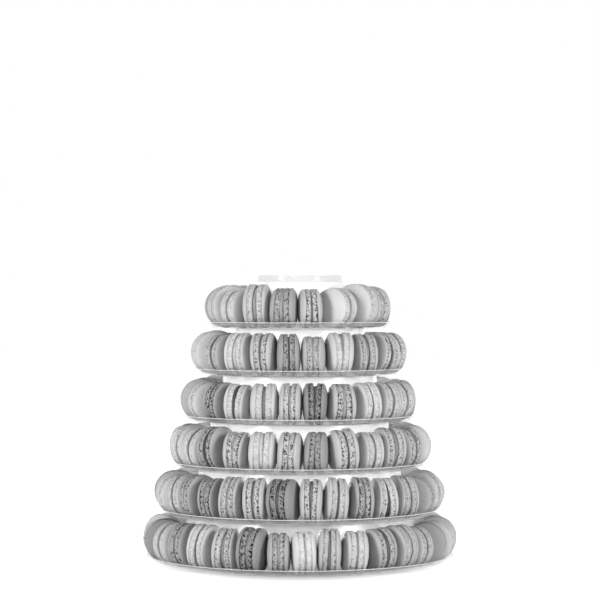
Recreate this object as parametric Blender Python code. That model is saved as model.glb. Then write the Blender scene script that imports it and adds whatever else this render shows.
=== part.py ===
"""A six-tier macaron tower: clear stacking trays, each with a ring of macarons standing on edge.

Metres, +Z up. The origin is on the surface that the tower stands on, under its centre line.
Tier 0 is the base and the last tier is the top. An azimuth is measured about the centre line
from the front, -Y, and grows towards +X.
"""

import math
import random

import bmesh
import bpy
from mathutils import Matrix, Vector

# The stack
TIERS = 6
BASE_RIM_RADIUS = 0.1660
RIM_STEP = 0.0129  # each tray's rim is this much inside the one below
PITCH = 0.0491  # from one tray's foot to the next one's
TOUCH_GAP = 0.0003

# One tray, formed from clear sheet. Insets are measured inwards from its rim.
SHEET = 0.0012
FLANGE_TOP = 0.0070
FLANGE_WIDTH = 0.0030
TROUGH_INSET = 0.0100  # outer edge of the trough's flat floor
SOCKET_FOOT_INSET = 0.0402  # the drum's wide foot, which takes the boss of the tray below
SOCKET_TOP_INSET = 0.0406
SOCKET_TOP = 0.0102
DRUM_FOOT_INSET = 0.0432
DRUM_FOOT = 0.0128
DRUM_TOP_INSET = 0.0453
BOSS_FOOT_INSET = 0.0549
BOSS_TOP_INSET = 0.0553
BOSS_RISE = 0.0083
TRAY_SIDES = 24

# One macaron: two domed shells, widest at their edges, and a waist where the filling shows
MACARON_RADIUS = 0.0218
MACARON_HALF_THICKNESS = 0.0126
RADIUS_SPREAD = 0.05  # shares by which sizes differ
THICKNESS_SPREAD = 0.03
SHELL_EDGE = 0.45  # a shell's widest place, as a share of the half thickness
WAIST_RADIUS = 0.92  # of the macaron's radius
KISS_RADIUS = 0.0100  # of the patch where two neighbouring domes press together
ROUND_SIDES = 8
KISS_SIDES = 4

# A ring of macarons in a trough
RING_INSET = 0.0198
REST_TURN = 25.0  # degrees: the most that the macarons away from the front are turned
MOST_LEAN = 2.4
SEED = 41

# For each tier from the base up, the azimuth of the touching point nearest the front, then the
# macarons to its left and to its right, from left to right: (turn in degrees, diameter, thickness)
FRONT = (
    (
        -3.5,
        ((17, 0.0465, 0.0276), (14, 0.0445, 0.0270), (2, 0.0465, 0.0288), (8, 0.0420, 0.0236)),
        (
            (6, 0.0435, 0.0254),
            (-10, 0.0460, 0.0242),
            (-10, 0.0430, 0.0272),
            (-2, 0.0445, 0.0268),
            (-4, 0.0460, 0.0254),
        ),
    ),
    (
        -0.1,
        (
            (12, 0.0460, 0.0244),
            (14, 0.0440, 0.0232),
            (12, 0.0462, 0.0242),
            (8, 0.0465, 0.0250),
            (-11, 0.0458, 0.0308),
        ),
        (
            (-5, 0.0460, 0.0234),
            (-9, 0.0465, 0.0252),
            (-15, 0.0459, 0.0254),
            (-21, 0.0440, 0.0262),
            (-27, 0.0450, 0.0254),
        ),
    ),
    (
        1.5,
        (
            (45, 0.0430, 0.0250),
            (50, 0.0430, 0.0250),
            (20, 0.0440, 0.0250),
            (10, 0.0440, 0.0250),
            (8, 0.0463, 0.0252),
            (15, 0.0422, 0.0272),
            (11, 0.0431, 0.0284),
            (-1, 0.0427, 0.0258),
        ),
        ((-12, 0.0431, 0.0256), (-9, 0.0457, 0.0288), (-12, 0.0417, 0.0270), (-24, 0.0455, 0.0276)),
    ),
    (
        1.5,
        ((15, 0.0428, 0.0250), (14, 0.0410, 0.0276), (16, 0.0425, 0.0296), (2, 0.0427, 0.0238)),
        (
            (-6, 0.0430, 0.0254),
            (-12, 0.0418, 0.0290),
            (-14, 0.0428, 0.0284),
            (-22, 0.0422, 0.0248),
            (-27, 0.0420, 0.0250),
            (-55, 0.0420, 0.0250),
            (-60, 0.0420, 0.0250),
        ),
    ),
    (
        0.5,
        ((15, 0.0425, 0.0260), (19, 0.0445, 0.0280), (8, 0.0447, 0.0262), (7, 0.0439, 0.0246)),
        (
            (-12, 0.0413, 0.0256),
            (-14, 0.0452, 0.0284),
            (-27, 0.0434, 0.0266),
            (-25, 0.0446, 0.0260),
            (-37, 0.0440, 0.0250),
            (-55, 0.0420, 0.0250),
        ),
    ),
    (
        -1.4,
        ((10, 0.0400, 0.0260), (21, 0.0457, 0.0290), (1, 0.0417, 0.0290)),
        (
            (1, 0.0406, 0.0258),
            (25, 0.0417, 0.0300),
            (5, 0.0462, 0.0260),
            (-15, 0.0440, 0.0250),
            (-60, 0.0420, 0.0250),
            (-50, 0.0420, 0.0250),
        ),
    ),
)

CLEAR_SHEET = {"color": (0.93, 0.94, 0.94, 1.0), "roughness": 0.08, "transmission": 0.9}
SHELL_GREY = {"color": (0.42, 0.42, 0.42, 1.0), "roughness": 0.75, "transmission": 0.0}


def clear_scene():
    for old in list(bpy.data.objects):
        bpy.data.objects.remove(old, do_unlink=True)


def make_material(name, color, roughness, transmission):
    material = bpy.data.materials.new(name)
    material.use_nodes = True
    shader = material.node_tree.nodes["Principled BSDF"]
    shader.inputs["Base Color"].default_value = color
    shader.inputs["Roughness"].default_value = roughness
    shader.inputs["Transmission Weight"].default_value = transmission
    shader.inputs["Metallic"].default_value = 0.0
    return material


def link_mesh(name, bm, material):
    mesh = bpy.data.meshes.new(name)
    bm.to_mesh(mesh)
    bm.free()
    mesh.materials.append(material)
    mesh.shade_smooth()
    mesh.set_sharp_from_angle(angle=math.radians(35))
    made = bpy.data.objects.new(name, mesh)
    bpy.context.scene.collection.objects.link(made)
    return made


def rim_radius(tier):
    return BASE_RIM_RADIUS - tier * RIM_STEP


def ring_radius(tier):
    """From the centre line to the middles of this tier's macarons."""
    return rim_radius(tier) - RING_INSET


# Trays


def tray_upper_side(rim):
    """The sheet's upper side from the rim to the centre line, as (radius, height) points."""
    shoulder = PITCH - TOUCH_GAP
    boss = shoulder + BOSS_RISE
    return [
        Vector((rim, FLANGE_TOP)),
        Vector((rim - FLANGE_WIDTH, FLANGE_TOP)),
        Vector((rim - TROUGH_INSET, SHEET)),
        Vector((rim - SOCKET_FOOT_INSET, SHEET)),
        Vector((rim - SOCKET_TOP_INSET, SOCKET_TOP)),
        Vector((rim - DRUM_FOOT_INSET, DRUM_FOOT)),
        Vector((rim - DRUM_TOP_INSET, shoulder)),
        Vector((rim - BOSS_FOOT_INSET, shoulder)),
        Vector((rim - BOSS_TOP_INSET, boss)),
        Vector((0.0, boss)),
    ]


def offset_line(points, distance):
    """A line parallel to this one, on its left, with its corners mitred."""
    normals = []
    for start, end in zip(points, points[1:]):
        along = (end - start).normalized()
        normals.append(Vector((-along.y, along.x)))
    moved = [points[0] + distance * normals[0]]
    for point, before, after in zip(points[1:], normals, normals[1:]):
        middle = (before + after).normalized()
        moved.append(point + middle * (distance / middle.dot(before)))
    moved.append(points[-1] + distance * normals[-1])
    return moved


def make_tray(tier, material):
    upper = tray_upper_side(rim_radius(tier))
    under = offset_line(upper, SHEET)
    under[-1].x = 0.0
    outline = upper[::-1] + under
    bm = bmesh.new()
    corners = [bm.verts.new((point.x, 0.0, point.y)) for point in outline]
    edges = [bm.edges.new(pair) for pair in zip(corners, corners[1:])]
    bmesh.ops.spin(
        bm,
        geom=corners + edges,
        cent=(0.0, 0.0, 0.0),
        axis=(0.0, 0.0, 1.0),
        angle=math.tau,
        steps=TRAY_SIDES,
        use_merge=True,
    )
    bmesh.ops.remove_doubles(bm, verts=bm.verts[:], dist=1e-6)
    bmesh.ops.recalc_face_normals(bm, faces=bm.faces[:])
    tray = link_mesh(f"tray_tier_{tier + 1}", bm, material)
    tray.location.z = tier * PITCH
    return tray


# Macarons


def half_width(turn, radius, half_thickness):
    """How far a macaron reaches along its ring, on each side."""
    return math.hypot(half_thickness * math.cos(turn), radius * math.sin(turn))


def drawn_macaron(draw):
    """A turn, a radius and a half thickness for a macaron away from the front."""
    return (
        math.radians(draw.uniform(-REST_TURN, REST_TURN)),
        MACARON_RADIUS * (1 + draw.uniform(-RADIUS_SPREAD, RADIUS_SPREAD)),
        MACARON_HALF_THICKNESS * (1 + draw.uniform(-THICKNESS_SPREAD, THICKNESS_SPREAD)),
    )


def fill_ring(tier, draw):
    """One tier's macarons as (turn, radius, half thickness), as many as its ring has room for."""
    left, right = (
        [(math.radians(turn), diameter / 2, thickness / 2) for turn, diameter, thickness in side]
        for side in FRONT[tier][1:]
    )
    room = math.pi * ring_radius(tier) - sum(half_width(*shape) for shape in left + right)
    rest = []
    while room > MACARON_HALF_THICKNESS / 2:
        rest.append(drawn_macaron(draw))
        room -= half_width(*rest[-1])
    return right + rest + left


def ring_layout(tier):
    """One tier's macarons as (azimuth, turn, lean, radius, half thickness), each touching the next."""
    draw = random.Random(SEED + tier)
    shapes = fill_ring(tier, draw)
    widths = [half_width(*shape) for shape in shapes]
    angle_per_width = math.pi / sum(widths)
    azimuth = math.radians(FRONT[tier][0])
    rows = []
    for (turn, radius, half_thickness), width in zip(shapes, widths):
        azimuth += angle_per_width * width
        lean = math.radians(draw.uniform(-MOST_LEAN, MOST_LEAN))
        rows.append((azimuth, turn, lean, radius, half_thickness))
        azimuth += angle_per_width * width
    return rows


def standing(tier, azimuth, turn, lean, radius, half_thickness):
    """Takes a macaron of radius and half thickness 1, its axis along Z, to its place in the trough."""
    lowest = radius * math.cos(lean) + SHELL_EDGE * half_thickness * abs(math.sin(lean))
    place = Matrix.Translation((
        ring_radius(tier) * math.sin(azimuth),
        -ring_radius(tier) * math.cos(azimuth),
        SHEET + TOUCH_GAP + lowest,
    ))
    upright = Matrix.Rotation(math.radians(90), 4, "Y")
    leaning = Matrix.Rotation(lean, 4, "Y")
    size = Matrix.Diagonal((radius, radius, half_thickness, 1.0))
    return place @ Matrix.Rotation(azimuth + turn, 4, "Z") @ leaning @ upright @ size


def add_ring(bm, sides, radius, matrix):
    made = bmesh.ops.create_circle(bm, segments=sides, radius=radius, matrix=matrix)
    return list({edge for vert in made["verts"] for edge in vert.link_edges})


def macaron_rings(bm, matrix):
    """The widest ring of each shell with the waist between them, along the macaron's axis."""
    rings = []
    for height, radius in ((-SHELL_EDGE, 1.0), (0.0, WAIST_RADIUS), (SHELL_EDGE, 1.0)):
        at_height = matrix @ Matrix.Translation((0.0, 0.0, height))
        rings.append(add_ring(bm, ROUND_SIDES, radius, at_height))
    return rings


def kiss_ring(bm, before, after):
    """The patch where one macaron's dome meets the next one's, midway between their crowns."""
    crown = Vector((0.0, 0.0, 1.0))
    middle = (before @ crown + after @ -crown) / 2
    azimuth = math.atan2(middle.x, -middle.y)
    upright = Matrix.Rotation(azimuth, 4, "Z") @ Matrix.Rotation(math.radians(90), 4, "Y")
    return add_ring(bm, KISS_SIDES, KISS_RADIUS, Matrix.Translation(middle) @ upright)


def make_macaron_ring(tier, material):
    """The macarons of one tier as one body, joined where their domes press together."""
    bm = bmesh.new()
    places = [standing(tier, *row) for row in ring_layout(tier)]
    chain = []
    for place, following in zip(places, places[1:] + places[:1]):
        chain += macaron_rings(bm, place)
        chain.append(kiss_ring(bm, place, following))
    for ring, following in zip(chain, chain[1:] + chain[:1]):
        bmesh.ops.bridge_loops(bm, edges=ring + following)
    bmesh.ops.recalc_face_normals(bm, faces=bm.faces[:])
    ring = link_mesh(f"macarons_tier_{tier + 1}", bm, material)
    ring.location.z = tier * PITCH
    return ring


def main():
    clear_scene()
    clear_sheet = make_material("clear_sheet", **CLEAR_SHEET)
    shell_grey = make_material("macaron_shell", **SHELL_GREY)
    for tier in range(TIERS):
        make_tray(tier, clear_sheet)
        make_macaron_ring(tier, shell_grey)


main()
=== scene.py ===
"""The looks of a six-tier macaron tower: ruffled shells, their filling, and clear formed trays.

Laid out as an add-on and run as a script. Metres, +Z up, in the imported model's own frame. Tier 0
is the base. An azimuth is measured about the centre line from the front, -Y, and grows towards +X.
"""

import math
import random

import bmesh
import bpy
from bpy.props import FloatProperty, FloatVectorProperty, IntProperty, PointerProperty
from mathutils import Matrix, Vector, noise


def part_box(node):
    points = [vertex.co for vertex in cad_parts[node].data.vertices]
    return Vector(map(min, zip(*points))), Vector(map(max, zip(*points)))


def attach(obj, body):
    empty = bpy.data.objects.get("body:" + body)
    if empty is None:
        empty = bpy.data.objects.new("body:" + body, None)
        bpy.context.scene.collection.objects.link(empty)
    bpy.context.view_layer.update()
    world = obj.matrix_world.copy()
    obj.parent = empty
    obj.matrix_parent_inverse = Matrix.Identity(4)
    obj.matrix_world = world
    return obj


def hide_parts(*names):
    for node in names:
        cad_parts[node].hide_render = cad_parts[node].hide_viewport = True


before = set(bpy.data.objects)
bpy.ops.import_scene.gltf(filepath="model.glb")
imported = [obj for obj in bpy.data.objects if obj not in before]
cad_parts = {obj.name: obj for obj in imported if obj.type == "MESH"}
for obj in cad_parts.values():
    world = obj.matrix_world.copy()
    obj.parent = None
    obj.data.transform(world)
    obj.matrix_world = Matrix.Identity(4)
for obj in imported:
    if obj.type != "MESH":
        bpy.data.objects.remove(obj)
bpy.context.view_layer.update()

bl_info = {
    "name": "Macaron tower",
    "version": (1, 0, 0),
    "blender": (4, 5, 0),
    "location": "View3D > Sidebar > Tower",
    "description": "Makes the macarons, the clear trays and the stage of a macaron tower",
    "category": "Add Mesh",
}

BODY = "root"
TIERS = 6
MM = 0.001

# The layout of the macarons, as in the solids that they replace
TOUCH_GAP = 0.0003
RING_INSET = 0.0198
REST_TURN = 25.0  # degrees: the most that the macarons away from the front are turned
MOST_LEAN = 2.4
RADIUS_SPREAD = 0.05
THICKNESS_SPREAD = 0.03
SHELL_EDGE = 0.45  # a shell's widest place, as a share of the half thickness
PRESS = 1.02  # how much thicker a macaron is than its place, so that the domes press together
LAYOUT_SEED = 41
SHELL_SEED = 700
FILLING_SEED = 900
FINISH_SEED = 300  # of tones, pitting, tilts and the choice of shell

# For each tier from the base up, the azimuth of the touching point nearest the front, then the
# macarons to its left and to its right, from left to right: (turn in degrees, diameter, thickness)
FRONT = (
    (
        -3.5,
        ((17, 0.0465, 0.0276), (14, 0.0445, 0.0270), (2, 0.0465, 0.0288), (8, 0.0420, 0.0236)),
        (
            (6, 0.0435, 0.0254),
            (-10, 0.0460, 0.0242),
            (-10, 0.0430, 0.0272),
            (-2, 0.0445, 0.0268),
            (-4, 0.0460, 0.0254),
        ),
    ),
    (
        -0.1,
        (
            (12, 0.0460, 0.0244),
            (14, 0.0440, 0.0232),
            (12, 0.0462, 0.0242),
            (8, 0.0465, 0.0250),
            (-11, 0.0458, 0.0308),
        ),
        (
            (-5, 0.0460, 0.0234),
            (-9, 0.0465, 0.0252),
            (-15, 0.0459, 0.0254),
            (-21, 0.0440, 0.0262),
            (-27, 0.0450, 0.0254),
        ),
    ),
    (
        1.5,
        (
            (45, 0.0430, 0.0250),
            (50, 0.0430, 0.0250),
            (20, 0.0440, 0.0250),
            (10, 0.0440, 0.0250),
            (8, 0.0463, 0.0252),
            (15, 0.0422, 0.0272),
            (11, 0.0431, 0.0284),
            (-1, 0.0427, 0.0258),
        ),
        ((-12, 0.0431, 0.0256), (-9, 0.0457, 0.0288), (-12, 0.0417, 0.0270), (-24, 0.0455, 0.0276)),
    ),
    (
        1.5,
        ((15, 0.0428, 0.0250), (14, 0.0410, 0.0276), (16, 0.0425, 0.0296), (2, 0.0427, 0.0238)),
        (
            (-6, 0.0430, 0.0254),
            (-12, 0.0418, 0.0290),
            (-14, 0.0428, 0.0284),
            (-22, 0.0422, 0.0248),
            (-27, 0.0420, 0.0250),
            (-55, 0.0420, 0.0250),
            (-60, 0.0420, 0.0250),
        ),
    ),
    (
        0.5,
        ((15, 0.0425, 0.0260), (19, 0.0445, 0.0280), (8, 0.0447, 0.0262), (7, 0.0439, 0.0246)),
        (
            (-12, 0.0413, 0.0256),
            (-14, 0.0452, 0.0284),
            (-27, 0.0434, 0.0266),
            (-25, 0.0446, 0.0260),
            (-37, 0.0440, 0.0250),
            (-55, 0.0420, 0.0250),
        ),
    ),
    (
        -1.4,
        ((10, 0.0400, 0.0260), (21, 0.0457, 0.0290), (1, 0.0417, 0.0290)),
        (
            (1, 0.0406, 0.0258),
            (25, 0.0417, 0.0300),
            (5, 0.0462, 0.0260),
            (-15, 0.0440, 0.0250),
            (-60, 0.0420, 0.0250),
            (-50, 0.0420, 0.0250),
        ),
    ),
)

# Shell tones from the base up: to the left and to the right of the touching point nearest the
# front, each row from left to right. V very pale, P pale, S soft, M mid and G deep.
FRONT_TONES = (
    ("SGPMPSGM", "VSPMSSGP"),
    ("PPMMSSG", "SSMPSMP"),
    ("PPMSPS", "GSPSSP"),
    ("MPMPPS", "GSPPPP"),
    ("PSPSG", "MPSSP"),
    ("PPSG", "SPPS"),
)
TONE_DRAW = "VVPPPPSSSSMG"
# Macarons with dark filling, counted from that touching point: below zero to the left
DARK_FILLING = ((4,), (-1, 4), (-4,), (-4, -3), (4,), ())
DARK_SHARE = 0.08  # of the other macarons
# How strongly a foot is pitted, and so how dark the painted shade in its pits and pores is, for each tone
# letter
PITTING = {
    "V": (0.15, 0.6),
    "P": (0.2, 0.7),
    "S": (0.42, 0.97),
    "M": (0.65, 1.05),
    "G": (0.8, 1.12),
}

# One tray, measured inwards from its rim
FLANGE_TOP = 0.0070
FLANGE_WIDTH = 0.0030
TROUGH_INSET = 0.0100
SOCKET_FOOT_INSET = 0.0402
SOCKET_TOP_INSET = 0.0406
SOCKET_TOP = 0.0102
DRUM_FOOT_INSET = 0.0432
DRUM_FOOT = 0.0128
DRUM_TOP_INSET = 0.0453
BOSS_FOOT_INSET = 0.0549
BOSS_TOP_INSET = 0.0553
BOSS_RISE = 0.0083
TRAY_STEPS = 144
CORNER_SEGMENTS = 3
HAIR = 0.0001  # more than rounding, less than any part of a tray
STEEP = 0.9  # a face whose normal rises less than this is part of a wall
LIP_ROUNDING = 0.45  # of the flange's cut edge, as a share of the sheet
TROUGH_PAINTED_VEILS = (0.85, 0.7, 0.7, 0.0, 0.0, 0.0)  # painted light: mist that lightens each trough's wall, from the base up; the trays themselves are alike
# Painted shade: a share of it greys the top tray's boss, and all of it a band at each flange's inner edge,
# for the dark line under the flange
TOP_BOSS_PAINTED_SHADE = 0.68
PAINTED_SHADE_BAND = (-0.0015, 0.0025)  # inwards from the flange's inner edge, where the sheet gets painted shade
PAINTED_SHADE_DEPTH = 0.0015  # how far that band reaches below the flange

# A shell in its own frame, which has its underside at height 0 and its crown upwards
UNDERSIDE_INSET = 0.0022  # where its flat underside ends, inwards from the radius
HEEL = (0.0010, 0.00005)  # the next point: inset and height
# Then the foot's edge from below: inset, and height as a share of the foot's
FOOT_OUTLINE = ((0.00055, 0.14), (0.00035, 0.34), (0.0003, 0.56), (0.00035, 0.78), (0.00085, 0.97))
SHELL_STEPS = 48
FOOT_CUTS = 2
SHELL_VARIANTS = 8
DOME_RINGS = 7
DOME_POWER = 2.15  # 2 gives an ellipse, more a squarer dome
DOME_START = -20.0  # degrees: where a dome's outline begins, below its widest place
SHOULDER = 0.0009  # from the foot up to the dome's widest place
MOST_OVAL = 0.016
FOOT_WANDER = 0.00025  # how far the foot's rows stray up and down
DOME_SWELL = 0.00016  # how far a dome strays up and down
DOME_SPREAD = 0.00012  # how far it strays in and out
FOOT_INSIDE = 0.9  # of the radius: the foot's rounds are cut finer outside it
SEAM = 0.9  # of the foot's height: from here up runs a seam of painted shade under the dome's overhang
SEAM_SHADE = 0.3  # strength of that painted shade on average, and then how much it comes and goes
SEAM_SHADE_SWING = 1.2
FINE_RUFFLE_SHARE = 0.7  # of the coarse ruffle
PIT_SIZES = (0.0004, 0.0010)  # radii
PIT_STRAY = 0.4  # from its place in the row, as a share of the spacing
PITS_IN_LINE = 0.75  # share of the pits
LINE_HEIGHTS = (0.5, 0.85)  # of that line, as shares of the foot's height
LINE_WIDTH = 0.08  # how far its pits stray from it
PIT_HEIGHTS = (0.2, 0.9)  # of the other pits
PIT_LENGTH = 0.7  # below 1, a pit is longer round the foot than across it
PIT_STEEPNESS = 2.2  # above 1, a pit has a flat bottom

# How long each kind of unevenness on a shell is, in millimetres
SEAM_GRAIN = 1.7
COARSE_RUFFLE = 2.4
FINE_RUFFLE = 1.1
WANDER_GRAIN = 3.0
SWELL_GRAIN = 6.0
SPREAD_GRAIN = 7.0

# The filling between two shells
FILLING_STEPS = 64
FILLING_REACH = 0.0011  # how far it goes into each shell
FILLING_EDGE = 0.0009  # from its flat sides out to its rim
FILLING_BULGE = 0.00015
FILLING_WAVES = (0.55, 5.0)  # how far its edge wanders and over what length, in millimetres
FILLING_CRUMBS = (0.3, 1.6)  # and the same for its finer unevenness
FILLING_SQUEEZE = (0.90, 1.0)  # of its radius

# How much paler or darker than its tone one shell or filling may be, as a share
SHELL_TINT_SPREAD = 0.05
FILLING_TINT_SPREAD = 0.35

# Of the strongest lamp, from the base up
DRUM_LAMP_SHARES = (0.0, 0.75, 0.2, 0.05, 0.35, 0.0)
RING_LAMP_SHARES = (1.0, 0.8, 0.7, 0.6, 0.0, 0.0)

# How fine each pattern is, per metre
FINE_SCALE = 1400.0
CRUMB_SCALE = 900.0
PORE_SCALE = 720.0
LUMP_SCALE = 380.0
MOTTLE_SCALE = 130.0
STREAK_SCALE = 500.0
WAVE_SCALE = 45.0
PORE_WANDER_SCALE = 900.0
PORE_WANDER = 0.0012  # how far the pores' pattern is bent out of shape
PORE_SQUEEZE = (1.0, 1.0, 0.6)  # draws the pores out along the macaron's height
PORE_SIZES = (0.15, 0.66)  # before their strength
PORE_SHARPNESS = 8.0

# The sheet's alpha seen square on and at a glance, then the share of it that casts a shadow
CLEAR_ALPHA = (0.04, 0.5)
CLEAR_SHADOW = 0.15
LIP_ALPHA = (0.7, 0.9)
LIP_SHADOW = 0.4
DRUM_ALPHA = (0.8, 0.95)
DRUM_SHADOW = 0.3

# Softboxes by name: place, width and height in metres, and the stage setting with their power
SOFTBOXES = (
    ("front_softbox", (0.0, -2.3, 0.9), 1.2, 0.6, "front_power"),
    ("left_softbox", (-1.75, -1.5, 0.75), 0.6, 0.9, "side_power"),
    ("right_softbox", (1.75, -1.5, 0.75), 0.6, 0.9, "side_power"),
    ("back_softbox", (0.0, 2.0, 0.7), 3.2, 1.3, "back_power"),
    ("top_softbox", (0.0, 0.2, 1.8), 1.6, 1.6, "top_power"),
)
SOFTBOX_AIM = (0.0, 0.0, 0.15)
DRUM_LAMP_HEIGHT = 0.5  # above the tray's foot, as a share of the tiers' pitch
RING_LAMP_HEIGHT = 0.85
INNER_LAMP_RADIUS = 0.02
FLOOR_REACH = 6.0
FLOOR_SQUEEZE = (1.35, 1.0, 1.0)  # makes the dark patch under the tower narrower than deep
FLOOR_GLOW = (0.155, 0.24)  # from where to where the floor's glow rises, from the centre line

# The camera, which is level
CAMERA_PLACE = (0.0003, -2.226, 0.2735)
FOCAL_LENGTH_PX = 2080.0
FRAME_PX = 600
HORIZON_BELOW_CENTRE_PX = 2.0
SENSOR_MM = 36.0


def length_property(name, description, default, precision=4):
    return FloatProperty(
        name=name, description=description, default=default, unit="LENGTH", precision=precision
    )


def power_property(name, description, default):
    return FloatProperty(name=name, description=description, default=default, unit="POWER")


def grey_property(name, description, grey):
    return FloatVectorProperty(
        name=name, description=description, subtype="COLOR", default=(grey, grey, grey), min=0, max=1
    )


class MACARONTOWER_PG_macarons(bpy.types.PropertyGroup):
    radius: length_property("Radius", "Of one macaron", 0.0218)
    half_thickness: length_property("Half thickness", "From the middle of the filling to a crown", 0.0126)
    filling_half: length_property("Half filling", "From the middle of the filling to a shell", 0.0012)
    filling_inset: length_property("Filling inset", "How far its edge stays inside the shells", 0.0015)
    foot_height: length_property("Foot height", "Of a shell's ruffled foot", 0.0047)
    ruffle: length_property("Ruffle", "How far the foot's edge wanders", 0.00050, precision=5)
    pit_depth: length_property("Pit depth", "Of the holes in the foot", 0.0011)
    pits: IntProperty(name="Pits", description="Large holes in one shell's foot", default=22, min=0)
    splay: FloatProperty(
        name="Splay",
        description="The most that a shell tilts on its filling",
        default=math.radians(3.5),
        subtype="ANGLE",
    )


class MACARONTOWER_PG_tones(bpy.types.PropertyGroup):
    very_pale: grey_property("Very pale", "Shell colour", 0.43)
    pale: grey_property("Pale", "Shell colour", 0.35)
    soft: grey_property("Soft", "Shell colour", 0.295)
    mid: grey_property("Mid", "Shell colour", 0.245)
    deep: grey_property("Deep", "Shell colour", 0.20)
    dark_filling: grey_property("Dark filling", "Colour of a dark filling", 0.035)
    # Partly the filling's own colour and partly painted shade: kept darker than its shells so that the
    # recessed groove reads dark
    filling_share: FloatProperty(
        name="Filling share", description="Of its shells' tone that a light filling has", default=0.7
    )


TONE_NAMES = {"V": "very_pale", "P": "pale", "S": "soft", "M": "mid", "G": "deep"}


class MACARONTOWER_PG_trays(bpy.types.PropertyGroup):
    sheet: length_property("Sheet", "Thickness of the formed sheet", 0.0008)
    corner: length_property("Corner", "Rounding of the sheet's corners", 0.0012)
    clear_color: grey_property("Clear sheet", "Tint of the clear part", 0.85)
    # Painted light: the alpha of the mist that lightens the lower troughs' walls
    veil_alpha: FloatProperty(
        name="Veil", description="How misty the mistiest trough is", default=0.3, subtype="FACTOR"
    )
    # Painted shade: the grey of the band under the flanges and of the top tray's boss
    dull_color: grey_property("Duller sheet", "Under the flanges and at the top tray's boss", 0.3)
    # Painted highlight: a light grey that makes the clear cut edge read as a bright line
    lip_color: grey_property("Lip", "Tint of the bright cut edge", 0.62)
    drum_color: grey_property("Drum", "Tint of the misty drum", 0.62)


class MACARONTOWER_PG_stage(bpy.types.PropertyGroup):
    floor_color: grey_property("Floor", "Colour of the floor", 0.5)
    sky: FloatProperty(name="Sky", description="Strength of the light all round", default=0.045)
    front_power: power_property("Front light", "Its power", 3.0)
    side_power: power_property("Side lights", "Power of each", 61.0)
    back_power: power_property("Back light", "Its power", 20.0)
    top_power: power_property("Top light", "Its power", 18.0)
    drum_power: power_property("Drum lamps", "Power of the strongest", 0.24)
    ring_power: power_property("Ring lamps", "Power of the strongest", 0.6)


# Meshes


def finish_piece(name, mesh, slot, *nodes):
    """Links a finished mesh as a piece of the tower, in the place of these CAD nodes."""
    piece = bpy.data.objects.new(name, mesh)
    bpy.context.scene.collection.objects.link(piece)
    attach(piece, BODY)
    if nodes:
        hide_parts(*nodes)
    return piece


def add_line(bm, points):
    """Adds a line through (radius, height) points and returns its verts."""
    line = [bm.verts.new((radius, 0.0, height)) for radius, height in points]
    for pair in zip(line, line[1:]):
        bm.edges.new(pair)
    return line


def spin_about_axis(bm, steps):
    """Spins the line in a bmesh about the Z axis, with its poles and seam closed."""
    bmesh.ops.spin(
        bm,
        geom=bm.verts[:] + bm.edges[:],
        cent=(0.0, 0.0, 0.0),
        axis=(0.0, 0.0, 1.0),
        angle=math.tau,
        steps=steps,
        use_merge=True,
    )
    bmesh.ops.remove_doubles(bm, verts=bm.verts[:], dist=1e-6)


# Trays


def tray_line(rim, sheet):
    """The sheet's upper side from the rim to the centre line, in (radius, height) points."""
    top = frame_pitch() - TOUCH_GAP
    return [
        (rim, FLANGE_TOP),
        (rim - FLANGE_WIDTH, FLANGE_TOP),
        (rim - TROUGH_INSET, sheet),
        (rim - SOCKET_FOOT_INSET, sheet),
        (rim - SOCKET_TOP_INSET, SOCKET_TOP),
        (rim - DRUM_FOOT_INSET, DRUM_FOOT),
        (rim - DRUM_TOP_INSET, top),
        (rim - BOSS_FOOT_INSET, top),
        (rim - BOSS_TOP_INSET, top + BOSS_RISE),
        (0.0, top + BOSS_RISE),
    ]


def frame_pitch():
    """From one tray's foot to the next one's."""
    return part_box("tray_tier_2")[0].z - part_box("tray_tier_1")[0].z


def rim_radius(tier):
    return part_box(f"tray_tier_{tier + 1}")[1].x


def make_tray_mesh(tier, look, materials):
    """One tray as a bare sheet, its drum in the second material, and painted mist and painted shade where
    they go.
    """
    bm = bmesh.new()
    line = add_line(bm, tray_line(rim_radius(tier), look.sheet))
    bmesh.ops.bevel(
        bm,
        geom=line[1:-1],
        offset=look.corner,
        offset_type="OFFSET",
        segments=CORNER_SEGMENTS,
        profile=0.5,
        affect="VERTICES",
        clamp_overlap=True,
        material=-1,
    )
    spin_about_axis(bm, TRAY_STEPS)
    bmesh.ops.recalc_face_normals(bm, faces=bm.faces[:])
    crown = max(bm.faces, key=lambda face: face.calc_center_median().z)
    if crown.normal.z < 0:
        bmesh.ops.reverse_faces(bm, faces=bm.faces[:])
    drum_radius = rim_radius(tier) - SOCKET_FOOT_INSET + HAIR
    misty_top = frame_pitch() + (BOSS_RISE if tier < TIERS - 1 else 0.0)
    rim_inner = rim_radius(tier) - FLANGE_WIDTH
    for face in bm.faces:
        face.smooth = True
        upright = abs(face.normal.z) < STEEP
        middle = face.calc_center_median()
        face.material_index = int(upright and middle.xy.length < drum_radius and middle.z < misty_top)
    veil = bm.verts.layers.float.new("veil")
    dull = bm.verts.layers.float.new("dull")
    # Painted shade on the top tray's boss and on a band at each flange's inner edge; painted mist on the
    # lower troughs and over that band
    for vert in bm.verts:
        inset = rim_inner - vert.co.xy.length
        if vert.co.z > misty_top + HAIR:
            vert[dull] = TOP_BOSS_PAINTED_SHADE
        elif vert.co.z > FLANGE_TOP - PAINTED_SHADE_DEPTH and PAINTED_SHADE_BAND[0] < inset < PAINTED_SHADE_BAND[1]:
            vert[dull] = 1.0
        vert[veil] = max(vert[dull], TROUGH_PAINTED_VEILS[tier])
    bmesh.ops.translate(bm, verts=bm.verts[:], vec=(0.0, 0.0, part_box(f"tray_tier_{tier + 1}")[0].z))
    mesh = bpy.data.meshes.new(f"formed_tray_{tier + 1}")
    bm.to_mesh(mesh)
    bm.free()
    for material in materials:
        mesh.materials.append(material)
    return mesh


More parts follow.
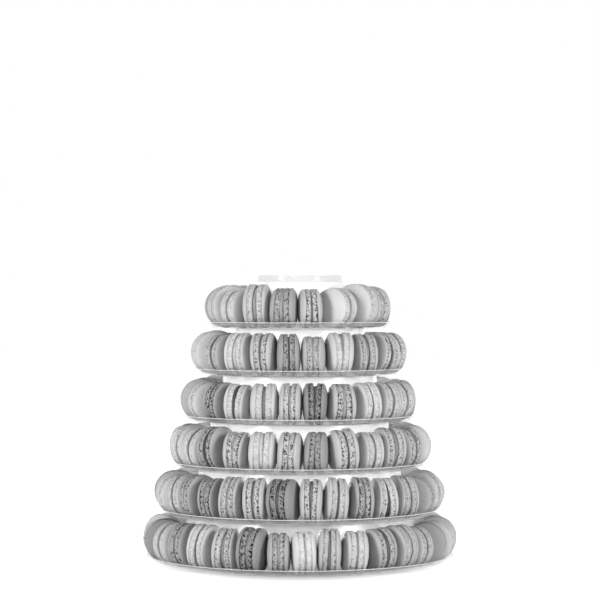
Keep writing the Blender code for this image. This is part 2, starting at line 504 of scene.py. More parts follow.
class MACARONTOWER_OT_trays(bpy.types.Operator):
    """Make the clear formed trays that carry the macarons"""

    bl_idname = "macaron_tower.trays"
    bl_label = "Make the trays"

    def execute(self, context):
        look = context.scene.tower_trays
        materials = (clear_sheet_material(look), misty_drum_material(look), lip_highlight_material(look))
        for tier in range(TIERS):
            mesh = make_tray_mesh(tier, look, materials)
            piece = finish_piece(f"formed_tray_{tier + 1}", mesh, "clear_sheet", f"tray_tier_{tier + 1}")
            wall = piece.modifiers.new("Sheet", "SOLIDIFY")
            wall.thickness = look.sheet
            wall.offset = -1.0
            wall.use_even_offset = True
            # The sheet's cut edge takes the third material, a painted highlight
            wall.material_offset_rim = 2
            lip = piece.modifiers.new("Lip", "BEVEL")
            lip.width = LIP_ROUNDING * look.sheet
            lip.segments = 3
            lip.limit_method = "ANGLE"
            lip.angle_limit = math.radians(60)
        return {"FINISHED"}


# Macarons


def half_width(turn, radius, half_thickness):
    """How far a macaron reaches along its ring, on each side."""
    return math.hypot(half_thickness * math.cos(turn), radius * math.sin(turn))


def drawn_macaron(draw, sizes):
    """A turn, a radius and a half thickness for a macaron away from the front."""
    return (
        math.radians(draw.uniform(-REST_TURN, REST_TURN)),
        sizes.radius * (1 + draw.uniform(-RADIUS_SPREAD, RADIUS_SPREAD)),
        sizes.half_thickness * (1 + draw.uniform(-THICKNESS_SPREAD, THICKNESS_SPREAD)),
    )


def ring_radius(tier):
    return rim_radius(tier) - RING_INSET


def fill_ring(tier, draw, sizes):
    """One tier's macarons as (turn, radius, half thickness), as many as its ring has room for."""
    left, right = (
        [(math.radians(turn), diameter / 2, thickness / 2) for turn, diameter, thickness in side]
        for side in FRONT[tier][1:]
    )
    room = math.pi * ring_radius(tier) - sum(half_width(*shape) for shape in left + right)
    rest = []
    while room > sizes.half_thickness / 2:
        rest.append(drawn_macaron(draw, sizes))
        room -= half_width(*rest[-1])
    return right + rest + left


def ring_layout(tier, sizes):
    """One tier's macarons as (azimuth, turn, lean, radius, half thickness), each touching the next."""
    draw = random.Random(LAYOUT_SEED + tier)
    shapes = fill_ring(tier, draw, sizes)
    widths = [half_width(*shape) for shape in shapes]
    angle_per_width = math.pi / sum(widths)
    stretch = PRESS * ring_radius(tier) * angle_per_width
    azimuth = math.radians(FRONT[tier][0])
    rows = []
    for (turn, radius, half_thickness), width in zip(shapes, widths):
        azimuth += angle_per_width * width
        lean = math.radians(draw.uniform(-MOST_LEAN, MOST_LEAN))
        rows.append((azimuth, turn, lean, radius, stretch * half_thickness))
        azimuth += angle_per_width * width
    return rows


def standing(tier, sheet, azimuth, turn, lean, radius, half_thickness):
    """Takes a macaron from its own frame, its axis along Z, to its place on edge in the trough."""
    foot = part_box(f"tray_tier_{tier + 1}")[0].z
    lowest = radius * math.cos(lean) + SHELL_EDGE * half_thickness * abs(math.sin(lean))
    place = Matrix.Translation((
        ring_radius(tier) * math.sin(azimuth),
        -ring_radius(tier) * math.cos(azimuth),
        foot + sheet + lowest,
    ))
    upright = Matrix.Rotation(math.radians(90), 4, "Y")
    leaning = Matrix.Rotation(lean, 4, "Y")
    return place @ Matrix.Rotation(azimuth + turn, 4, "Z") @ leaning @ upright


def shell_line(sizes):
    """A shell's outline from the middle of its underside to its crown, and its dome's first height."""
    radius = sizes.radius
    foot = sizes.foot_height
    height = sizes.half_thickness - sizes.filling_half
    widest = foot + SHOULDER
    line = [
        (0.0, 0.0),
        (radius - UNDERSIDE_INSET, 0.0),
        (radius - HEEL[0], HEEL[1]),
        *((radius - inset, share * foot) for inset, share in FOOT_OUTLINE),
    ]
    for ring in range(DOME_RINGS + 1):
        angle = math.radians(DOME_START + (90 - DOME_START) * ring / DOME_RINGS)
        across = math.cos(angle) ** (2 / DOME_POWER) if ring < DOME_RINGS else 0.0
        up = math.copysign(abs(math.sin(angle)) ** (2 / DOME_POWER), angle)
        rise = height - widest if up > 0 else SHOULDER
        line.append((radius * across, widest + up * rise))
    return line


def draw_pits(draw, sizes):
    """Holes in a foot as (azimuth, height, size) rows, most of them strung along one line."""
    line = draw.uniform(*LINE_HEIGHTS)
    rows = []
    for index in range(sizes.pits):
        azimuth = math.tau * (index + draw.uniform(-PIT_STRAY, PIT_STRAY)) / sizes.pits
        in_line = draw.random() < PITS_IN_LINE
        share = line + draw.uniform(-LINE_WIDTH, LINE_WIDTH) if in_line else draw.uniform(*PIT_HEIGHTS)
        rows.append((azimuth, share * sizes.foot_height, draw.uniform(*PIT_SIZES)))
    return rows


def pit_at(azimuth, height, pits, radius):
    """How deep in a pit this place of the foot is, from 0 to 1."""
    deepest = 0.0
    for pit_azimuth, pit_height, size in pits:
        around = (azimuth - pit_azimuth + math.pi) % math.tau - math.pi
        distance = math.hypot(PIT_LENGTH * radius * around, height - pit_height)
        deepest = max(deepest, 1 - distance / size)
    return min(1.0, PIT_STEEPNESS * deepest)


def make_shell_mesh(variant, sizes):
    """One shell with its ruffled and pitted foot, uneven in its own way."""
    draw = random.Random(SHELL_SEED + variant)
    bm = bmesh.new()
    line = shell_line(sizes)
    add_line(bm, line)
    spin_about_axis(bm, SHELL_STEPS)
    foot_top = sizes.foot_height
    in_foot = {
        vert for vert in bm.verts if vert.co.xy.length > FOOT_INSIDE * sizes.radius and vert.co.z < foot_top
    }
    rounds = [
        edge
        for edge in bm.edges
        if in_foot.issuperset(edge.verts) and abs(edge.verts[0].co.z - edge.verts[1].co.z) < 1e-7
    ]
    bmesh.ops.subdivide_edges(bm, edges=rounds, cuts=FOOT_CUTS, use_grid_fill=False)
    bmesh.ops.recalc_face_normals(bm, faces=bm.faces[:])
    ring_radii = {round(height, 7): radius for radius, height in line[1 : 3 + len(FOOT_OUTLINE)]}
    foot = bm.verts.layers.float.new("foot")
    # Holds the pits' depth, which dents the foot and is painted dark, and the seam's painted shade
    pit = bm.verts.layers.float.new("pit")
    pits = draw_pits(draw, sizes)
    shift = Vector([draw.uniform(-50, 50) for _ in range(3)])
    oval = draw.uniform(0.0, MOST_OVAL)
    oval_azimuth = draw.uniform(0, math.pi)
    for vert in bm.verts:
        azimuth = math.atan2(vert.co.y, vert.co.x)
        height = vert.co.z
        radius = ring_radii.get(round(height, 7), vert.co.xy.length)
        if vert.co.xy.length < 0.5 * MM:
            continue
        around = Vector((math.cos(azimuth), math.sin(azimuth), 0.0))
        place = (around * sizes.radius + Vector((0.0, 0.0, height))) / MM
        if 0.0 < height < foot_top:
            vert[foot] = 1.0
            seam = 0.0
            # Painted shade: a dark, broken seam under the dome's overhang, in colour only, not dented
            if height > SEAM * foot_top:
                seam = SEAM_SHADE + SEAM_SHADE_SWING * noise.noise(place / SEAM_GRAIN + 3 * shift)
            vert[pit] = max(seam, pit_at(azimuth, height, pits, sizes.radius))
            radius += sizes.ruffle * (
                noise.noise(place / COARSE_RUFFLE + shift)
                + FINE_RUFFLE_SHARE * noise.noise(place / FINE_RUFFLE - shift)
            )
            radius -= sizes.pit_depth * (vert[pit] if vert[pit] > seam else 0.0)
            height += FOOT_WANDER * noise.noise(place / WANDER_GRAIN - 2 * shift)
        elif height > 0.0:
            height += DOME_SWELL * noise.noise(vert.co / (SWELL_GRAIN * MM) + shift)
            radius += DOME_SPREAD * noise.noise(vert.co / (SPREAD_GRAIN * MM) - shift)
        radius *= 1 - oval * math.cos(2 * (azimuth - oval_azimuth)) ** 2
        vert.co = around * radius + Vector((0.0, 0.0, height))
    mesh = bpy.data.meshes.new(f"shell_{variant}")
    bm.to_mesh(mesh)
    bm.free()
    return mesh


def make_filling_mesh(variant, sizes):
    """A disc of filling with an uneven edge that reaches into both shells."""
    draw = random.Random(FILLING_SEED + variant)
    bm = bmesh.new()
    radius = sizes.radius - sizes.filling_inset
    half = sizes.filling_half + FILLING_REACH
    line = [
        (0.0, -half),
        (radius - FILLING_EDGE, -half),
        (radius, -0.45 * half),
        (radius + FILLING_BULGE, 0.0),
        (radius, 0.45 * half),
        (radius - FILLING_EDGE, half),
        (0.0, half),
    ]
    add_line(bm, line)
    spin_about_axis(bm, FILLING_STEPS)
    bmesh.ops.recalc_face_normals(bm, faces=bm.faces[:])
    shift = Vector([draw.uniform(-50, 50) for _ in range(3)])
    for vert in bm.verts:
        out = vert.co.xy.length / radius
        wander = FILLING_WAVES[0] * noise.noise(vert.co / (FILLING_WAVES[1] * MM) + shift)
        wander += FILLING_CRUMBS[0] * noise.noise(vert.co / (FILLING_CRUMBS[1] * MM) - shift)
        vert.co.xy *= 1 + out * wander * MM / radius
    mesh = bpy.data.meshes.new(f"filling_{variant}")
    bm.to_mesh(mesh)
    bm.free()
    return mesh


def add_copy(bm, source, matrix, color, pitting=0.0):
    """Adds a tinted copy of a mesh to a bmesh, at its place."""
    copy = source.copy()
    copy.transform(matrix)
    tint = copy.attributes.new("tint", "FLOAT_COLOR", "POINT")
    tint.data.foreach_set("color", [*color, 1.0] * len(copy.vertices))
    strength = copy.attributes.new("pitting", "FLOAT", "POINT")
    strength.data.foreach_set("value", [pitting] * len(copy.vertices))
    bm.from_mesh(copy)
    bpy.data.meshes.remove(copy)


def keep_inside(bm_list, low, high):
    """Scales the verts of a ring in towards its axis, as far as they reach out of the box."""
    places = [vert.co for bm in bm_list for vert in bm.verts]
    for axis in range(2):
        reach = [place[axis] for place in places]
        share = min(1.0, low[axis] / min(reach), high[axis] / max(reach))
        for place in places:
            place[axis] *= share


def ring_tones(tier, count, draw):
    """A tone letter and whether the filling is dark, for each macaron of a ring in layout order."""
    left, right = FRONT_TONES[tier]
    rest = [draw.choice(TONE_DRAW) for _ in range(count - len(left) - len(right))]
    tones = [*right, *rest, *left]
    dark = [draw.random() < DARK_SHARE for _ in range(count)]
    for index in list(range(len(right))) + list(range(-len(left), 0)):
        dark[index] = (index + 1 if index >= 0 else index) in DARK_FILLING[tier]
    return list(zip(tones, dark))


def varied(color, draw, spread):
    share = 1 + draw.uniform(-spread, spread)
    return [share * channel for channel in color]


class MACARONTOWER_OT_macarons(bpy.types.Operator):
    """Make each tier's macarons: two shells with ruffled feet and the filling between them"""

    bl_idname = "macaron_tower.macarons"
    bl_label = "Make the macarons"

    def execute(self, context):
        sizes = context.scene.tower_macarons
        tones = context.scene.tower_tones
        sheet = context.scene.tower_trays.sheet
        shells = [make_shell_mesh(variant, sizes) for variant in range(SHELL_VARIANTS)]
        fillings = [make_filling_mesh(variant, sizes) for variant in range(SHELL_VARIANTS)]
        shell_finish = shell_material()
        filling_finish = filling_material()
        for tier in range(TIERS):
            draw = random.Random(FINISH_SEED + tier)
            rows = ring_layout(tier, sizes)
            shell_bm = bmesh.new()
            filling_bm = bmesh.new()
            for row, (tone, dark) in zip(rows, ring_tones(tier, len(rows), draw)):
                across, along = row[-2] / sizes.radius, row[-1] / sizes.half_thickness
                place = standing(tier, sheet, *row) @ Matrix.Diagonal((across, across, along, 1.0))
                color = getattr(tones, TONE_NAMES[tone])
                shell_color = varied(color, draw, SHELL_TINT_SPREAD)
                pitting = draw.uniform(*PITTING[tone])
                for side in (0.0, math.pi):
                    tilt = Matrix.Rotation(draw.uniform(-sizes.splay, sizes.splay), 4, "X")
                    tilt @= Matrix.Rotation(draw.uniform(-sizes.splay, sizes.splay), 4, "Y")
                    own_turn = Matrix.Rotation(draw.uniform(0, math.tau), 4, "Z")
                    lift = Matrix.Translation((0.0, 0.0, sizes.filling_half))
                    matrix = place @ Matrix.Rotation(side, 4, "X") @ tilt @ lift @ own_turn
                    add_copy(shell_bm, draw.choice(shells), matrix, shell_color, pitting)
                # Partly own colour, partly painted shade for the groove the filling sits in
                light_filling = [tones.filling_share * channel for channel in color]
                filling = tones.dark_filling if dark else light_filling
                filling_color = varied(filling, draw, FILLING_TINT_SPREAD)
                own_turn = Matrix.Rotation(draw.uniform(0, math.tau), 4, "Z")
                share = draw.uniform(*FILLING_SQUEEZE)
                squeeze = Matrix.Diagonal((share, share, 1.0, 1.0))
                add_copy(filling_bm, draw.choice(fillings), place @ own_turn @ squeeze, filling_color)
            keep_inside((shell_bm, filling_bm), *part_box(f"macarons_tier_{tier + 1}"))
            for name, bm, finish, slot in (
                (f"shells_tier_{tier + 1}", shell_bm, shell_finish, "macaron_shell"),
                (f"filling_tier_{tier + 1}", filling_bm, filling_finish, "macaron_filling"),
            ):
                mesh = bpy.data.meshes.new(name)
                bm.to_mesh(mesh)
                bm.free()
                mesh.materials.append(finish)
                mesh.shade_smooth()
                finish_piece(name, mesh, slot, f"macarons_tier_{tier + 1}")
        for source in shells + fillings:
            bpy.data.meshes.remove(source)
        return {"FINISHED"}


# Materials


def new_material(name):
    material = bpy.data.materials.new(name)
    material.use_nodes = True
    return material, material.node_tree, material.node_tree.nodes["Principled BSDF"]


def add_node(tree, kind, values=(), **settings):
    """Adds a node, with its settings and its unlinked input values, given by name or number."""
    node = tree.nodes.new(kind)
    for name, value in settings.items():
        setattr(node, name, value)
    for name, value in dict(values).items():
        node.inputs[name].default_value = value
    return node


def grain_group():
    """Soft specks at a named scale and contrast, read on Object coordinates, as a value about 0.5."""
    if "Soft grain" in bpy.data.node_groups:
        return bpy.data.node_groups["Soft grain"]
    group = bpy.data.node_groups.new("Soft grain", "ShaderNodeTree")
    group.interface.new_socket("Scale", in_out="INPUT", socket_type="NodeSocketFloat")
    group.interface.new_socket("Contrast", in_out="INPUT", socket_type="NodeSocketFloat")
    group.interface.new_socket("Value", in_out="OUTPUT", socket_type="NodeSocketFloat")
    ends = {"in": add_node(group, "NodeGroupInput"), "out": add_node(group, "NodeGroupOutput")}
    place = add_node(group, "ShaderNodeTexCoord")
    specks = add_node(group, "ShaderNodeTexNoise", {"Detail": 3.0, "Roughness": 0.6})
    centred = add_node(group, "ShaderNodeMath", {1: 0.5}, operation="SUBTRACT")
    stretched = add_node(group, "ShaderNodeMath", operation="MULTIPLY")
    raised = add_node(group, "ShaderNodeMath", {1: 0.5}, operation="ADD", use_clamp=True)
    link = group.links.new
    link(place.outputs["Object"], specks.inputs["Vector"])
    link(ends["in"].outputs["Scale"], specks.inputs["Scale"])
    link(specks.outputs["Fac"], centred.inputs[0])
    link(centred.outputs[0], stretched.inputs[0])
    link(ends["in"].outputs["Contrast"], stretched.inputs[1])
    link(stretched.outputs[0], raised.inputs[0])
    link(raised.outputs[0], ends["out"].inputs["Value"])
    return group


def add_grain(tree, scale, contrast):
    node = add_node(tree, "ShaderNodeGroup", node_tree=grain_group())
    node.inputs["Scale"].default_value = scale
    node.inputs["Contrast"].default_value = contrast
    return node.outputs["Value"]


def map_range(tree, value, low, high, start=0.0, end=1.0):
    """Takes a value that runs from start to end, to one that runs from low to high."""
    ends = {"From Min": start, "From Max": end, "To Min": low, "To Max": high}
    node = add_node(tree, "ShaderNodeMapRange", ends)
    tree.links.new(value, node.inputs["Value"])
    return node.outputs["Result"]


def multiplied(tree, first, second):
    node = add_node(tree, "ShaderNodeMath", operation="MULTIPLY")
    tree.links.new(first, node.inputs[0])
    tree.links.new(second, node.inputs[1])
    return node.outputs[0]


def scaled_color(tree, color, value):
    node = add_node(tree, "ShaderNodeVectorMath", operation="SCALE")
    tree.links.new(color, node.inputs["Vector"])
    tree.links.new(value, node.inputs["Scale"])
    return node.outputs["Vector"]


def mixed(tree, factor, first, second):
    """Between two values, each a socket or a number."""
    node = add_node(tree, "ShaderNodeMix", data_type="FLOAT")
    tree.links.new(factor, node.inputs["Factor"])
    for name, value in (("A", first), ("B", second)):
        if isinstance(value, float):
            node.inputs[name].default_value = value
        else:
            tree.links.new(value, node.inputs[name])
    return node.outputs["Result"]


def pore_group():
    """Small round pores, larger with strength, read on Object coordinates, as a value from 0 to 1."""
    if "Pores" in bpy.data.node_groups:
        return bpy.data.node_groups["Pores"]
    group = bpy.data.node_groups.new("Pores", "ShaderNodeTree")
    group.interface.new_socket("Scale", in_out="INPUT", socket_type="NodeSocketFloat")
    group.interface.new_socket("Strength", in_out="INPUT", socket_type="NodeSocketFloat")
    group.interface.new_socket("Value", in_out="OUTPUT", socket_type="NodeSocketFloat")
    ends = {"in": add_node(group, "NodeGroupInput"), "out": add_node(group, "NodeGroupOutput")}
    link = group.links.new
    place = add_node(group, "ShaderNodeTexCoord").outputs["Object"]
    wander = add_node(group, "ShaderNodeTexNoise", {"Scale": PORE_WANDER_SCALE, "Detail": 1.0})
    link(place, wander.inputs["Vector"])
    step = add_node(group, "ShaderNodeVectorMath", {1: [PORE_WANDER] * 3}, operation="MULTIPLY")
    link(wander.outputs["Color"], step.inputs[0])
    moved = add_node(group, "ShaderNodeVectorMath", operation="ADD")
    link(place, moved.inputs[0])
    link(step.outputs["Vector"], moved.inputs[1])
    drawn_out = add_node(group, "ShaderNodeVectorMath", {1: PORE_SQUEEZE}, operation="MULTIPLY")
    link(moved.outputs["Vector"], drawn_out.inputs[0])
    cells = add_node(group, "ShaderNodeTexVoronoi", {"Randomness": 1.0})
    link(drawn_out.outputs["Vector"], cells.inputs["Vector"])
    link(ends["in"].outputs["Scale"], cells.inputs["Scale"])
    size = add_node(group, "ShaderNodeSeparateColor")
    link(cells.outputs["Color"], size.inputs[0])
    reach = map_range(group, size.outputs[0], *PORE_SIZES, start=PORE_SIZES[0])
    grown = multiplied(group, reach, ends["in"].outputs["Strength"])
    inside = add_node(group, "ShaderNodeMath", operation="SUBTRACT")
    link(grown, inside.inputs[0])
    link(cells.outputs["Distance"], inside.inputs[1])
    sharpened = add_node(group, "ShaderNodeMath", {1: PORE_SHARPNESS}, operation="MULTIPLY", use_clamp=True)
    link(inside.outputs[0], sharpened.inputs[0])
    link(sharpened.outputs[0], ends["out"].inputs["Value"])
    return group


def add_pores(tree, scale, strength):
    node = add_node(tree, "ShaderNodeGroup", node_tree=pore_group())
    node.inputs["Scale"].default_value = scale
    tree.links.new(strength, node.inputs["Strength"])
    return node.outputs["Value"]


def shell_material():
    """Matte baked shell: fine grain on the dome, a crumbly foot, and painted shade in its pores, pits and the
    seam under the dome.
    """
    material, tree, shader = new_material("macaron_shell")
    tint = add_node(tree, "ShaderNodeAttribute", attribute_name="tint").outputs["Color"]
    foot = add_node(tree, "ShaderNodeAttribute", attribute_name="foot").outputs["Fac"]
    pit = add_node(tree, "ShaderNodeAttribute", attribute_name="pit").outputs["Fac"]
    pitting = add_node(tree, "ShaderNodeAttribute", attribute_name="pitting").outputs["Fac"]
    fine = add_grain(tree, FINE_SCALE, 2.0)
    crumb = add_grain(tree, CRUMB_SCALE, 3.0)
    mottle = add_grain(tree, MOTTLE_SCALE, 1.5)
    lumps = add_grain(tree, LUMP_SCALE, 2.0)
    pores = add_pores(tree, PORE_SCALE, pitting)
    dome_shade = multiplied(tree, map_range(tree, fine, 0.88, 1.12), map_range(tree, mottle, 0.94, 1.06))
    # Crumb is the foot's own texture; the pores darken it as painted shade
    foot_shade = multiplied(tree, map_range(tree, crumb, 0.76, 1.24), map_range(tree, pores, 1.0, 0.15))
    foot_shade = multiplied(tree, foot_shade, map_range(tree, lumps, 0.75, 1.28))
    shade = mixed(tree, foot, dome_shade, foot_shade)
    # Painted shade: the pits, which are also dented, and the seam under the dome darken the colour, the pits
    # more on more pitted feet
    reach = add_node(tree, "ShaderNodeMath", {1: 1.0}, operation="SUBTRACT")
    tree.links.new(pitting, reach.inputs[0])
    in_pit = add_node(tree, "ShaderNodeMath", operation="ADD")
    tree.links.new(pit, in_pit.inputs[0])
    tree.links.new(reach.outputs[0], in_pit.inputs[1])
    pit_shade = add_node(tree, "ShaderNodeMath", {1: 2.0}, operation="MULTIPLY", use_clamp=True)
    tree.links.new(in_pit.outputs[0], pit_shade.inputs[0])
    shade = multiplied(tree, shade, map_range(tree, pit_shade.outputs[0], 1.0, 0.04))
    tree.links.new(scaled_color(tree, tint, shade), shader.inputs["Base Color"])
    tree.links.new(mixed(tree, foot, map_range(tree, fine, 0.55, 0.72), 0.9), shader.inputs["Roughness"])
    bump = add_node(tree, "ShaderNodeBump", {"Strength": 0.7, "Distance": 0.0004})
    rough_foot = multiplied(tree, crumb, map_range(tree, pores, 1.0, 0.0))
    tree.links.new(mixed(tree, foot, map_range(tree, fine, 0.4, 0.6), rough_foot), bump.inputs["Height"])
    tree.links.new(bump.outputs["Normal"], shader.inputs["Normal"])
    shader.inputs["Specular IOR Level"].default_value = 0.35
    return material


def filling_material():
    """Smooth, slightly moist filling with faint streaks."""
    material, tree, shader = new_material("macaron_filling")
    tint = add_node(tree, "ShaderNodeAttribute", attribute_name="tint").outputs["Color"]
    streaks = add_grain(tree, STREAK_SCALE, 2.0)
    tree.links.new(scaled_color(tree, tint, map_range(tree, streaks, 0.8, 1.15)), shader.inputs["Base Color"])
    tree.links.new(map_range(tree, streaks, 0.4, 0.6), shader.inputs["Roughness"])
    bump = add_node(tree, "ShaderNodeBump", {"Strength": 0.5, "Distance": 0.0003})
    tree.links.new(streaks, bump.inputs["Height"])
    tree.links.new(bump.outputs["Normal"], shader.inputs["Normal"])
    return material


def sheet_material(name, color, alpha, roughness, glancing=2.5):
    """Formed sheet whose alpha rises from the first value seen square on to the second at a glance."""
    material, tree, shader = new_material(name)
    shader.inputs["Base Color"].default_value = (*color, 1.0)
    wave = add_grain(tree, WAVE_SCALE, 1.0)
    tree.links.new(map_range(tree, wave, 0.6 * roughness, 1.4 * roughness), shader.inputs["Roughness"])
    bump = add_node(tree, "ShaderNodeBump", {"Strength": 0.25, "Distance": 0.0006})
    tree.links.new(wave, bump.inputs["Height"])
    tree.links.new(bump.outputs["Normal"], shader.inputs["Normal"])
    facing = add_node(tree, "ShaderNodeLayerWeight", {"Blend": 0.35}).outputs["Facing"]
    glance = add_node(tree, "ShaderNodeMath", {1: glancing}, operation="POWER")
    tree.links.new(facing, glance.inputs[0])
    tree.links.new(map_range(tree, glance.outputs[0], *alpha), shader.inputs["Alpha"])
    shader.inputs["IOR"].default_value = 1.5
    return material, shader


def thin_its_shadow(material, share):
    """Lets most light through to what lies behind, whatever the alpha that is seen."""
    tree = material.node_tree
    alpha = tree.nodes["Principled BSDF"].inputs["Alpha"]
    seen = alpha.links[0].from_socket
    shaded = add_node(tree, "ShaderNodeMath", {1: share}, operation="MULTIPLY")
    tree.links.new(seen, shaded.inputs[0])
    for_shadow = add_node(tree, "ShaderNodeLightPath").outputs["Is Shadow Ray"]
    tree.links.new(mixed(tree, for_shadow, seen, shaded.outputs[0]), alpha)
    return material


def clear_sheet_material(look):
    """Clear sheet, greyed by painted shade and clouded by a painted veil where the tray's attributes put
    them.
    """
    material, shader = sheet_material(
        "clear_sheet", look.clear_color, CLEAR_ALPHA, roughness=0.06, glancing=5.0
    )
    tree = material.node_tree
    # Painted shade: greys the sheet under the flanges and at the top tray's boss
    dull = add_node(tree, "ShaderNodeAttribute", attribute_name="dull").outputs["Fac"]
    grey = add_node(tree, "ShaderNodeCombineColor")
    for channel, socket in enumerate(grey.inputs):
        tree.links.new(mixed(tree, dull, look.clear_color[channel], look.dull_color[channel]), socket)
    tree.links.new(grey.outputs["Color"], shader.inputs["Base Color"])
    # Painted veil: lit sheet that lightens the lower troughs and makes the painted shade band opaque
    veil = add_node(tree, "ShaderNodeAttribute", attribute_name="veil").outputs["Fac"]
    clear = shader.inputs["Alpha"].links[0].from_socket
    misty = add_node(tree, "ShaderNodeMath", {1: look.veil_alpha}, operation="MAXIMUM")
    tree.links.new(clear, misty.inputs[0])
    tree.links.new(mixed(tree, veil, clear, misty.outputs[0]), shader.inputs["Alpha"])
    shader.inputs["Specular IOR Level"].default_value = 0.2
    return thin_its_shadow(material, CLEAR_SHADOW)


def lip_highlight_material(look):
    """The cut edge of the flange: nearly opaque light grey, a painted highlight for the light that a clear
    edge gathers.
    """
    material, _ = sheet_material("bright_lip", look.lip_color, LIP_ALPHA, roughness=0.2)
    return thin_its_shadow(material, LIP_SHADOW)


def misty_drum_material(look):
    """Milky sheet that light passes into and spreads in."""
    material, shader = sheet_material("misty_drum", look.drum_color, DRUM_ALPHA, roughness=0.25)
    shader.inputs["Subsurface Weight"].default_value = 1.0
    shader.inputs["Subsurface Radius"].default_value = (1.0, 1.0, 1.0)
    shader.inputs["Subsurface Scale"].default_value = 0.01
    return thin_its_shadow(material, DRUM_SHADOW)


# Stage


def floor_material(look):
    """Matte white that glows towards the distance, so that no horizon shows."""
    material, tree, shader = new_material("pale_floor")
    shader.inputs["Base Color"].default_value = (*look.floor_color, 1.0)
    shader.inputs["Roughness"].default_value = 0.9
    shader.inputs["Specular IOR Level"].default_value = 0.0
    shader.inputs["Emission Color"].default_value = (1.0, 1.0, 1.0, 1.0)
    narrowed = add_node(tree, "ShaderNodeVectorMath", {1: FLOOR_SQUEEZE}, operation="MULTIPLY")
    tree.links.new(add_node(tree, "ShaderNodeTexCoord").outputs["Object"], narrowed.inputs[0])
    distance = add_node(tree, "ShaderNodeVectorMath", operation="LENGTH")
    tree.links.new(narrowed.outputs["Vector"], distance.inputs[0])
    glow = map_range(tree, distance.outputs["Value"], 0.0, 1.0, *FLOOR_GLOW)
    tree.links.new(glow, shader.inputs["Emission Strength"])
    return material


def make_sky(look):
    """Even light all round that looks white to the camera."""
    world = bpy.data.worlds.new("studio")
    world.use_nodes = True
    tree = world.node_tree
    tree.nodes.clear()
    link = tree.links.new
    white = (1.0, 1.0, 1.0, 1.0)
    lit = add_node(tree, "ShaderNodeBackground", {"Color": white, "Strength": look.sky})
    seen = add_node(tree, "ShaderNodeBackground", {"Color": white, "Strength": 1.0})
    choose = add_node(tree, "ShaderNodeMixShader")
    link(add_node(tree, "ShaderNodeLightPath").outputs["Is Camera Ray"], choose.inputs[0])
    link(lit.outputs[0], choose.inputs[1])
    link(seen.outputs[0], choose.inputs[2])
    link(choose.outputs[0], add_node(tree, "ShaderNodeOutputWorld").inputs["Surface"])
    bpy.context.scene.world = world


def add_softbox(name, place, width, height, power):
    """A soft rectangular light that points at the tower and isn't seen itself."""
    lamp = bpy.data.lights.new(name, "AREA")
    lamp.shape = "RECTANGLE"
    lamp.size = width
    lamp.size_y = height
    lamp.energy = power
    box = bpy.data.objects.new(name, lamp)
    box.location = place
    box.rotation_euler = (Vector(SOFTBOX_AIM) - Vector(place)).to_track_quat("-Z", "Y").to_euler()
    box.visible_camera = False
    bpy.context.scene.collection.objects.link(box)


def add_inner_lamp(name, height, power):
    """A small round light on the centre line."""
    lamp = bpy.data.lights.new(name, "POINT")
    lamp.energy = power
    lamp.shadow_soft_size = INNER_LAMP_RADIUS
    holder = bpy.data.objects.new(name, lamp)
    holder.location.z = height
    bpy.context.scene.collection.objects.link(holder)
    return holder


def add_inner_lamps(look):
    """Soft lamps inside the drums, for the light that clear sheet carries inwards.

    One lights each drum, the other one only that tier's macarons, as if no tray were in its way.
    """
    pitch = frame_pitch()
    for tier, (drum_share, ring_share) in enumerate(zip(DRUM_LAMP_SHARES, RING_LAMP_SHARES)):
        drum_height = (tier + DRUM_LAMP_HEIGHT) * pitch
        ring_height = (tier + RING_LAMP_HEIGHT) * pitch
        add_inner_lamp(f"drum_lamp_{tier + 1}", drum_height, drum_share * look.drum_power)
        ring_lamp = add_inner_lamp(f"ring_lamp_{tier + 1}", ring_height, ring_share * look.ring_power)
        ring = bpy.data.collections.new(f"lit_ring_{tier + 1}")
        for name in (f"shells_tier_{tier + 1}", f"filling_tier_{tier + 1}"):
            if name in bpy.data.objects:
                ring.objects.link(bpy.data.objects[name])
        ring_lamp.light_linking.receiver_collection = ring
        ring_lamp.light_linking.blocker_collection = ring


def make_camera():
    """A level camera at the height of the top tier, in front of the tower."""
    lens = bpy.data.cameras.new("camera")
    lens.sensor_width = SENSOR_MM
    lens.lens = FOCAL_LENGTH_PX * SENSOR_MM / FRAME_PX
    lens.shift_y = HORIZON_BELOW_CENTRE_PX / FRAME_PX
    camera = bpy.data.objects.new("camera", lens)
    camera.location = CAMERA_PLACE
    camera.rotation_euler = (math.radians(90), 0.0, 0.0)
    bpy.context.scene.collection.objects.link(camera)
    bpy.context.scene.camera = camera


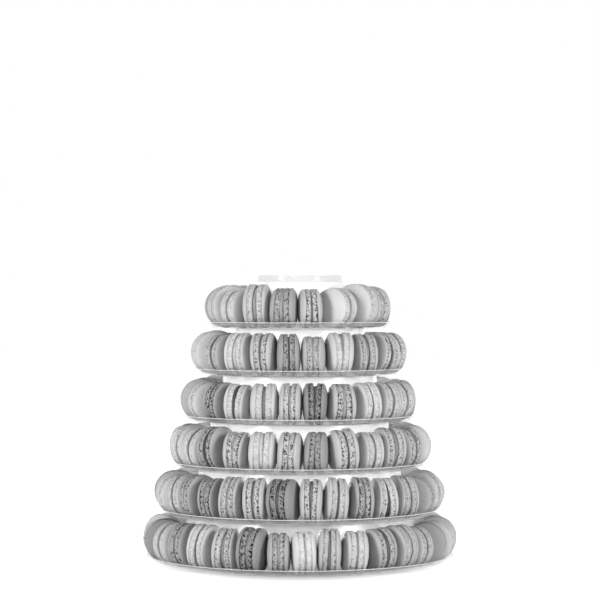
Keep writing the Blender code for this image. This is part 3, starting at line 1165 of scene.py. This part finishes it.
class MACARONTOWER_OT_stage(bpy.types.Operator):
    """Make the floor, the lights and the camera"""

    bl_idname = "macaron_tower.stage"
    bl_label = "Make the stage"

    def execute(self, context):
        look = context.scene.tower_stage
        bm = bmesh.new()
        bmesh.ops.create_grid(bm, x_segments=1, y_segments=1, size=FLOOR_REACH)
        mesh = bpy.data.meshes.new("floor")
        bm.to_mesh(mesh)
        bm.free()
        mesh.materials.append(floor_material(look))
        floor = bpy.data.objects.new("floor", mesh)
        context.scene.collection.objects.link(floor)
        make_sky(look)
        for name, place, width, height, setting in SOFTBOXES:
            add_softbox(name, place, width, height, getattr(look, setting))
        add_inner_lamps(look)
        make_camera()
        context.scene.view_settings.view_transform = "Standard"
        return {"FINISHED"}


# The add-on


class MACARONTOWER_PT_panel(bpy.types.Panel):
    bl_idname = "MACARONTOWER_PT_panel"
    bl_label = "Macaron tower"
    bl_space_type = "VIEW_3D"
    bl_region_type = "UI"
    bl_category = "Tower"

    def draw(self, context):
        for name, _ in SETTINGS:
            settings = getattr(context.scene, name)
            for prop in settings.bl_rna.properties:
                if prop.identifier in settings.__annotations__:
                    self.layout.prop(settings, prop.identifier)
        for operator in OPERATORS:
            self.layout.operator(operator.bl_idname)


SETTINGS = (
    ("tower_macarons", MACARONTOWER_PG_macarons),
    ("tower_tones", MACARONTOWER_PG_tones),
    ("tower_trays", MACARONTOWER_PG_trays),
    ("tower_stage", MACARONTOWER_PG_stage),
)
OPERATORS = (MACARONTOWER_OT_trays, MACARONTOWER_OT_macarons, MACARONTOWER_OT_stage)


def register():
    for name, group in SETTINGS:
        bpy.utils.register_class(group)
        setattr(bpy.types.Scene, name, PointerProperty(type=group))
    for operator in OPERATORS:
        bpy.utils.register_class(operator)
    bpy.utils.register_class(MACARONTOWER_PT_panel)


def unregister():
    bpy.utils.unregister_class(MACARONTOWER_PT_panel)
    for operator in reversed(OPERATORS):
        bpy.utils.unregister_class(operator)
    for name, group in reversed(SETTINGS):
        delattr(bpy.types.Scene, name)
        bpy.utils.unregister_class(group)


def main():
    register()
    bpy.ops.macaron_tower.trays()
    bpy.ops.macaron_tower.macarons()
    bpy.ops.macaron_tower.stage()


if __name__ == "__main__":
    main()
